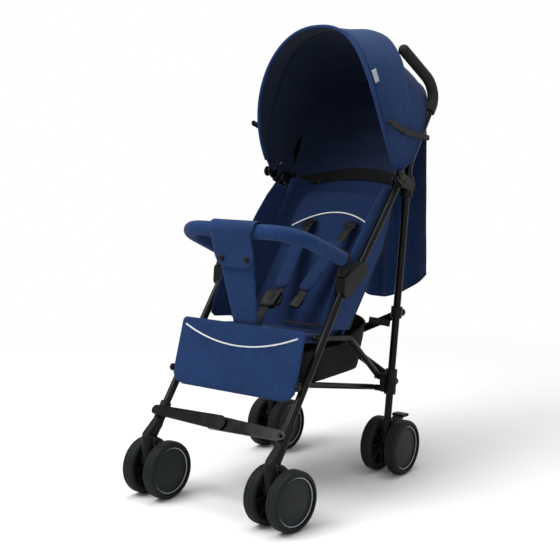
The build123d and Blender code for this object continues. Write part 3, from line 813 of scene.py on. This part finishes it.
def make_crotch_panel():
    """The padded panel that stands between the seat's front and the bumper, wider at its top."""
    foot = seat_place @ Vector((0, 0.012, seat_thickness - 0.010))
    top = bumper_middle - bumper_up * (bumper_radius + 0.004)
    rise = top - foot
    length = rise.length
    foot_half = 0.036
    top_half = 0.057
    swell = 0.003
    block = pad_block(2 * foot_half, length, 0.006, 0.012)
    for vert in block.verts:
        vert.co.x *= 1 + (top_half / foot_half - 1) * (vert.co.y / length) ** 1.4

    def sewn(spot):
        half = foot_half + (top_half - foot_half) * (max(spot.y, 0) / length) ** 1.4
        return near(abs(spot.x), half - 0.008, 0.0035) or not 0.006 < spot.y < length - 0.006

    place = placed(foot, Vector((1, 0, 0)), rise.normalized())
    panel = stuffed("crotch_panel", block, sewn, swell, navy_cloth, place, voxel=0.0045, pressure=3.0)
    ride_and_fold(panel, "left_front_leg")


# Harness


def make_fitting(name, body, width, length, thickness, place):
    """A moulded fitting with round edges and a hollow in its face."""
    shape = pad_block(width, length, thickness, width * 0.22)
    faces = [face for face in shape.faces
             if face.normal.z > 0.9 and face.calc_area() > width * length * 0.3]
    bmesh.ops.inset_region(shape, faces=faces, thickness=width * 0.16, depth=0.0)
    sunk = {vert for face in faces for vert in face.verts}
    bmesh.ops.translate(shape, vec=(0, 0, -thickness * 0.18), verts=list(sunk))
    bmesh.ops.transform(shape, matrix=place, verts=shape.verts)
    ride_and_fold(from_shape(name, shape, buckle_plastic), body)


def make_shoulder_strap(side, word):
    """A strap from a slot below the arc down to its tongue, with a pad and a slider on it."""
    route = [(0.064, 0.328, 0.030), (0.064, 0.295, 0.043), (0.060, 0.25, 0.052), (0.052, 0.19, 0.062),
             (0.044, 0.13, 0.072), (0.036, 0.085, 0.078), (0.032, 0.055, 0.080)]
    points = [back_place @ Vector((side * x, y, z)) for x, y, z in route]
    slider_spot, pad_top, pad_foot, tip = points[1], points[2], points[5], points[6]
    facing = back_place.to_3x3() @ Vector((0, 0, 1))
    belt = strap(f"{word}_shoulder_strap", points, webbing_width, facing)
    ride_and_fold(belt, "backrest")
    along = (pad_top - pad_foot).normalized()
    across = along.cross(facing).normalized()
    length = (pad_top - pad_foot).length

    def sewn(spot):
        return near(abs(spot.x), 0.0155, 0.0028) or not 0.006 < spot.y < length - 0.006

    place = placed(pad_foot + across.cross(along) * 0.003, across, along)
    block = pad_block(0.040, length, 0.007, 0.010)
    # Darker navy here is painted shade inside the seat.
    pad = stuffed(f"{word}_shoulder_pad", block, sewn, 0.003, seat_cloth_painted_shade, place, voxel=0.004)
    ride_and_fold(pad, "backrest")
    place = placed(tip - along * 0.022, across, along)
    make_fitting(f"{word}_tongue", "backrest", 0.030, 0.034, 0.007, place)
    place = placed(slider_spot + facing * 0.001, across, along)
    make_fitting(f"{word}_strap_slider", "backrest", 0.034, 0.022, 0.005, place)


def make_seat_strap(name, route, facing):
    """A strap that lies on the seat or stands up from it."""
    points = [seat_place @ Vector(spot) for spot in route]
    ride_and_fold(strap(name, points, webbing_width, facing), "left_front_leg")


def make_harness():
    """Shoulder straps on the backrest; hip straps, the crotch strap and the buckle on the seat."""
    hip = [(0.142, 0.150, 0.040), (0.118, 0.130, 0.044), (0.085, 0.105, 0.046), (0.055, 0.085, 0.047)]
    for side, word in sides:
        make_shoulder_strap(side, word)
        make_seat_strap(f"{word}_hip_strap", [(side * x, y, z) for x, y, z in hip], Vector((0, 0, 1)))
    rise = [(0, 0.052, 0.030), (0, 0.058, 0.050), (0, 0.070, 0.068), (0, 0.084, 0.082)]
    make_seat_strap("crotch_strap", rise, Vector((0, 1, 0.4)))
    place = seat_place @ Matrix.Translation((0, 0.080, 0.076)) @ Matrix.Rotation(radians(48), 4, "X")
    make_fitting("harness_buckle", "left_front_leg", 0.046, 0.054, 0.014, place)


# Canopy


def bow_point(turn, angle, bow, sweep=0.0, sweep_top=1.0):
    """A point on a bow, from the right hinge (0) over the top to the left one (1). Below a share of
    its rise the bow is swept forward."""
    half, rise, power = bow
    x = half * signed_power(-cos(pi * turn), 2 / power)
    share = abs(sin(pi * turn)) ** (2 / power)
    lean = radians(angle - sweep * max(1 - share / sweep_top, 0))
    return at(x, canopy_hinge[0] - rise * share * cos(lean), canopy_hinge[1] + rise * share * sin(lean))


def rear_edge(turn, angle, bow, share=1.0):
    """A point on the rear panel, whose edges are swept forward and back at its foot."""
    sweep = canopy_rear_front_sweep * (1 - share) ** 2 - canopy_rear_sweep * share ** 2
    return bow_point(turn, angle, bow, sweep, rear_sweep_top)


def outward(spot):
    return (spot - at(0, *canopy_hinge)).normalized()


def make_canopy_front():
    """The front panel: cloth stretched from the rim to the second bow, hollow between them."""
    hem_start = 0.955
    hollow = 0.012
    lap = 0.006

    def surface(u, v):
        half, rise, power = between(rim_bow, seam_bow, v)
        rise -= hollow * sin(pi * min(v / hem_start, 1)) ** 0.8 * sin(pi * u) ** 3
        rise -= lap * max(v - hem_start, 0) / (1 - hem_start)
        angle = canopy_front_angle + (canopy_seam_angle - canopy_front_angle) * v
        spot = bow_point(u, angle, (half, rise, power), canopy_sweep * (1 - v))
        slack = 0.0022 * (1 - abs(2 * u - 1) ** 6)
        return spot + outward(spot) * ripple(spot, 0.06, slack)

    def tab_surface(u, v):
        spot = surface(0.775 + 0.036 * v, 0.10 + 0.11 * u)
        return spot + outward(spot) * 0.0024

    panel = cloth_on("canopy_front_panel", 110, 36, surface, (1.02, 0.19), navy_cloth)
    # The back of the panel is drawn darker navy: painted shade inside the hood.
    finish_sheet(panel, panel_thickness, -1.0, lining_painted_shade)
    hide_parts("canopy_front")
    ride_and_fold(panel, "canopy_front")
    points = [bow_point(step / 90, canopy_front_angle, rim_bow, canopy_sweep) for step in range(2, 89)]
    ride_and_fold(roll("canopy_rim", points, 0.0044, navy_cloth), "canopy_front")
    stitch = []
    for step in range(3, 88):
        spot = surface(step / 90, 0.085)
        stitch.append(spot + outward(spot) * 0.0006)
    ride_and_fold(roll("canopy_rim_seam", stitch, 0.0011, navy_binding), "canopy_front")
    tab = cloth_on("canopy_tab", 6, 10, tab_surface, (0.018, 0.034), label_cloth)
    finish_sheet(tab, 0.001)
    ride_and_fold(tab, "canopy_front")


def make_canopy_rear():
    """The rear panel, with long soft folds, wide enough at its foot to hide the tubes."""

    def surface(u, v):
        half, rise, power = along_line([rear_front_bow, rear_middle_bow, rear_bow], v ** 0.8)
        rise -= 0.006 * sin(pi * v) * sin(pi * u) ** 3
        angle = canopy_rear_start + (canopy_rear_angle - canopy_rear_start) * v
        spot = rear_edge(u, angle, (half, rise, power), v)
        slack = 0.004 * (1 - abs(2 * u - 1) ** 6) * sin(pi * v)
        folds = Vector((spot.x * 1.2, spot.y * 3.0, spot.z * 2.2))
        return spot + outward(spot) * ripple(folds, 0.10, slack)

    panel = cloth_on("canopy_rear_panel", 110, 40, surface, (1.0, 0.23), navy_cloth)
    # The back of the panel is drawn darker navy: painted shade inside the hood.
    finish_sheet(panel, panel_thickness, -1.0, lining_painted_shade)
    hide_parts("canopy_rear")
    ride_and_fold(panel, "left_side")
    points = [rear_edge(step / 90, canopy_rear_angle, rear_bow) for step in range(2, 89)]
    ride_and_fold(roll("canopy_rear_hem", points, 0.0030, navy_cloth), "left_side")


def make_hood_lining():
    """The lining behind the rider's head: folds that run from hinge to hinge, between the rear bow
    and a black band over the backrest's top."""

    def surface(u, v):
        turn = 0.005 + 0.99 * u
        share = sin(pi * turn)
        top = rear_edge(turn, canopy_rear_angle, lining_bow)
        droop = 0.064 * share * (1 - share)
        foot = at(-lining_half_width * cos(pi * turn), canopy_hinge[0] + lining_depth * share,
                  lining_foot - droop)
        spot = foot + (top - foot) * v
        spot.x *= 1 - 0.06 * sin(pi * v) * (1 - share ** 2)
        fold = 0.006 * sin(7 * pi * v + 2 * share) + ripple(spot, 0.08, 0.004)
        return spot + Vector((0, 1, 0.4)) * share ** 3 * (fold + 0.010) * sin(pi * v)

    # The lining is drawn darker navy: painted shade inside the hood.
    lining = cloth_on("canopy_hood_lining", 90, 64, surface, (0.60, lining_length), lining_painted_shade)
    lining.data.materials.append(black_cloth)
    weave = lining.data.uv_layers["weave"].data
    for face in lining.data.polygons:
        if max(weave[i].uv.y for i in face.loop_indices) < lining_band:
            face.material_index = 1
    finish_sheet(lining, lining_thickness)
    ride_and_fold(lining, "left_side")


def make_curtain():
    """The back curtain: hangs from the rear bow in soft pleats, its sides swept back."""
    half_bow, rise, power = rear_bow
    lean = radians(canopy_rear_angle)

    def surface(u, v):
        share = 2 * u - 1
        drop = 1 - v
        x = curtain_half_width * share
        reach = rise * (1 - abs(x / half_bow) ** power) ** (1 / power)
        top = at(x, canopy_hinge[0] - reach * cos(lean), canopy_hinge[1] + reach * sin(lean))
        hem = curtain_middle_hem + (curtain_side_hem - curtain_middle_hem) * abs(share) ** 1.6
        z = hem + (top.z - hem) * v
        pleats = 0.009 * cos(5 * pi * share + 0.6 * sin(3 * share)) * (1 - share ** 2) * drop
        y = top.y + 0.034 * drop * share ** 4 - 0.016 * drop + pleats
        return Vector((x, y + ripple(Vector((x, z, 0.7)), 0.12, 0.006 * drop), z))

    cloth = cloth_on("canopy_curtain", 72, 56, surface, (2 * curtain_half_width, 0.58), navy_cloth)
    finish_sheet(cloth, cloth_thickness)
    ride_and_fold(cloth, "left_side")
    hem = roll("curtain_hem", [surface(step / 60, 0.0) for step in range(61)], 0.0022, navy_binding)
    ride_and_fold(hem, "left_side")


def make_hinge_caps():
    """Round black caps over the canopy's hinges."""
    spots = [at(x, *canopy_hinge) for x in (-hinge_cap_x, hinge_cap_x)]
    caps = round_caps("canopy_hinge_caps", spots, 0.0135, 0.0052, black_plastic)
    ride_and_fold(caps, "canopy_front")


# Sides and basket


def make_side_panel(side, word):
    """Cloth from in front of the leg's tube back to a thin rod, beside the rider."""
    front = [(-0.296, 0.424), (-0.276, 0.474), (-0.246, 0.526), (-0.184, 0.570),
             (-0.156, 0.604), (-0.106, 0.662), (-0.060, 0.708), (-0.022, 0.738)]
    rear = [(-0.282, 0.413), (-0.235, 0.407), (-0.186, 0.400), (-0.128, 0.466),
            (-0.080, 0.522), (-0.030, 0.580), (0.000, 0.640), (0.032, 0.726)]
    rod_start = 2
    middle = side_x - tube_radius - 0.0048

    def surface(u, v):
        y, z = between(along_line(front, v), along_line(rear, v), u if side < 0 else 1 - u)
        slack = 0.0010 * sin(pi * u)
        return at(side * (middle + ripple(Vector((y, z, 0.3)), 0.035, slack)), y, z)

    cloth = cloth_on(f"{word}_side_cloth", 26, 56, surface, (0.13, 0.42), navy_cloth)
    finish_sheet(cloth, cloth_thickness)
    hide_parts(f"{word}_side_panel")
    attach(cloth, f"{word}_front_leg")
    points = [at(side * middle, *along_line(rear[rod_start:], step / 30)) for step in range(31)]
    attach(roll(f"{word}_side_edge", points, 0.0024, gloss_plastic), f"{word}_front_leg")


def make_basket():
    """The basket: a sewn cloth tray whose walls and floor sag, with a strap at each rear corner."""
    rim_front, rim_middle, rim_back = (-0.334, 0.370), (-0.170, 0.351), (-0.006, 0.406)
    floor_front, floor_back, floor_height = -0.306, -0.052, 0.281
    wall_share = 0.6
    squareness = 0.36

    def rim_height(y):
        start, end = (rim_front, rim_middle) if y < rim_middle[0] else (rim_middle, rim_back)
        return start[1] + (end[1] - start[1]) * (y - start[0]) / (end[0] - start[0])

    def surface(u, v):
        turn = 2 * pi * u
        wall = min(v / wall_share, 1)
        floor = max(v - wall_share, 0) / (1 - wall_share)
        front_y = rim_front[0] + (floor_front - rim_front[0]) * wall
        back_y = rim_back[0] + (floor_back - rim_back[0]) * wall
        shrink = 1 - floor
        x = basket_half * signed_power(cos(turn), squareness) * shrink
        y = (front_y + back_y) / 2 + (back_y - front_y) / 2 * signed_power(sin(turn), squareness) * shrink
        dip = 0.010 * abs(sin(2 * turn)) * (1 - wall)
        low = floor_height - 0.006 * floor
        z = rim_height(y) + (low - rim_height(y)) * (1 - (1 - wall) ** 1.2) - dip
        spot = at(x, y, z)
        return spot + Vector((cos(turn), sin(turn), 0)) * ripple(spot, 0.05, 0.004 * sin(pi * wall))

    tray = cloth_on("basket_cloth", 120, 36, surface, (1.02, 0.24), black_cloth)
    finish_sheet(tray, cloth_thickness)
    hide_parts("basket")
    ride_and_fold(tray, "left_seat_rail")
    rim = [surface(step / 120, 0.0) for step in range(120)]
    ride_and_fold(roll("basket_rim", rim, 0.0034, black_cloth, cyclic=True), "left_seat_rail")
    route = ((0.122, -0.012, 0.394), (0.148, 0.000, 0.390), (0.172, 0.010, 0.386))
    for side, word in sides:
        points = [at(side * x, y, z) for x, y, z in route]
        facing = Vector((side * 0.5, -0.85, 0))
        belt = strap(f"{word}_basket_strap", points, basket_strap_width, facing)
        ride_and_fold(belt, "left_side")


# Wheels


def make_wheel_ring(name, body, spot, side, turn):
    """A foil ring on the bead around a wheel's disc."""
    shape = bmesh.new()
    section = Matrix.Translation((bead_height, 0, ring_radius)) @ Matrix.Rotation(radians(90), 4, "X")
    flat = Matrix.Diagonal((ring_flatness, 1, 1, 1))
    bmesh.ops.create_circle(shape, segments=12, radius=ring_width / 2, matrix=section @ flat)
    bmesh.ops.spin(shape, geom=shape.edges[:], cent=(0, 0, 0), axis=(1, 0, 0), angle=2 * pi, steps=96,
                   use_merge=True)
    swivel = Vector((spot[0], caster_y + rear_axle_y, 0))
    steer = Matrix.Translation(swivel) @ Matrix.Rotation(radians(turn), 4, "Z") @ Matrix.Translation(-swivel)
    place = Matrix.Translation(at(spot[0] + side * wheel_offset, *spot[1:]))
    facing = Matrix.Diagonal((side, 1, 1, 1))
    bmesh.ops.transform(shape, matrix=steer @ place @ facing, verts=shape.verts)
    bmesh.ops.recalc_face_normals(shape, faces=shape.faces)
    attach(from_shape(name, shape, ring_foil), body)


def make_wheel_rings():
    for side, word in sides:
        rear = (side * side_x, 0.0, wheel_radius)
        front = (side * side_x, caster_y + caster_trail, wheel_radius)
        for out, place in ((1, "outer"), (-1, "inner")):
            make_wheel_ring(f"{word}_rear_{place}_ring", f"{word}_rear_{place}_wheel", rear, side * out, 0.0)
            make_wheel_ring(f"{word}_front_{place}_ring", f"{word}_front_{place}_wheel", front, side * out,
                            caster_turns[word])


make_backrest()
make_back_sheet()
make_seat()
make_legrest()
make_bumper()
make_bumper_sleeve()
make_bumper_hems()
make_crotch_panel()
make_harness()
make_canopy_front()
make_canopy_rear()
make_hood_lining()
make_curtain()
make_hinge_caps()
for side, word in sides:
    make_side_panel(side, word)
make_basket()
make_wheel_rings()


# Frame finishes


def dress(finish, *names):
    for name in names:
        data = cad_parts[name].data
        data.materials.clear()
        data.materials.append(finish)


tube_nodes = ("handle_tube", "front_leg", "seat_rail", "lower_link")
plastic_nodes = ("side_joint", "rear_bracket", "cross_collar", "rear_housing", "brake_pedal", "leg_block",
                 "caster_socket", "caster_fork", "stay_rear", "stay_front")
wheel_places = ("rear_outer", "rear_inner", "front_outer", "front_inner")

for side in ("left", "right"):
    dress(tube_finish, *(f"{side}_{name}" for name in tube_nodes))
    dress(black_plastic, *(f"{side}_{name}" for name in plastic_nodes))
    dress(grip_foam, f"{side}_handle_grip")
    dress(gloss_plastic, f"{side}_footrest")
    dress(tyre_rubber, *(f"{side}_{place}_tyre" for place in wheel_places))
    dress(hub_plastic, *(f"{side}_{place}_hub" for place in wheel_places))
dress(tube_finish, "front_cross_bar", "rear_cross_bar")


# Studio


def make_floor():
    shape = bmesh.new()
    bmesh.ops.create_grid(shape, x_segments=8, y_segments=8, size=6.0)
    from_shape("floor", shape, studio_floor())


def make_world(scene):
    """A white room that lights the object softly and is seen as plain white."""
    soft_light = 0.45
    seen_white = 1.0
    world = bpy.data.worlds.new("studio")
    scene.world = world
    world.use_nodes = True
    tree = world.node_tree
    path = add_node(tree, "ShaderNodeLightPath", {})
    seen = add_node(tree, "ShaderNodeMath",
                    {0: path.outputs["Is Camera Ray"], 1: path.outputs["Is Glossy Ray"]}, operation="ADD")
    seen = add_node(tree, "ShaderNodeMath", {0: seen.outputs[0], 1: path.outputs["Is Transmission Ray"]},
                    operation="ADD", use_clamp=True)
    strength = add_node(tree, "ShaderNodeMapRange", {0: seen.outputs[0], 3: soft_light, 4: seen_white})
    set_sockets(tree, tree.nodes["Background"], {"Color": (1, 1, 1, 1), "Strength": strength.outputs[0]})


def aim(holder, target):
    turn = Vector(target) - holder.location
    holder.rotation_euler = turn.to_track_quat("-Z", "Y").to_euler()


def make_lamp(scene, name, spot, power, size):
    lamp = bpy.data.lights.new(name, "AREA")
    lamp.energy = power
    lamp.size = size
    holder = bpy.data.objects.new(name, lamp)
    holder.location = spot
    aim(holder, (0, 0, 0.55))
    scene.collection.objects.link(holder)


def make_camera(scene):
    camera = bpy.data.objects.new("camera", bpy.data.cameras.new("camera"))
    camera.data.lens = 68.105
    camera.data.sensor_width = 36.0
    camera.location = (1.5136, -2.1720, 0.8770)
    aim(camera, (0, -0.0829, 0.5126))
    scene.collection.objects.link(camera)
    scene.camera = camera


studio = bpy.context.scene
studio.view_settings.view_transform = "Standard"
make_floor()
make_world(studio)
make_lamp(studio, "key", (-1.1, -2.2, 3.3), 92, 1.8)
make_lamp(studio, "fill", (2.6, -1.6, 1.9), 10, 1.6)
make_lamp(studio, "top", (-0.2, 0.1, 3.0), 50, 2.0)
make_camera(studio)

bpy.context.view_layer.update()
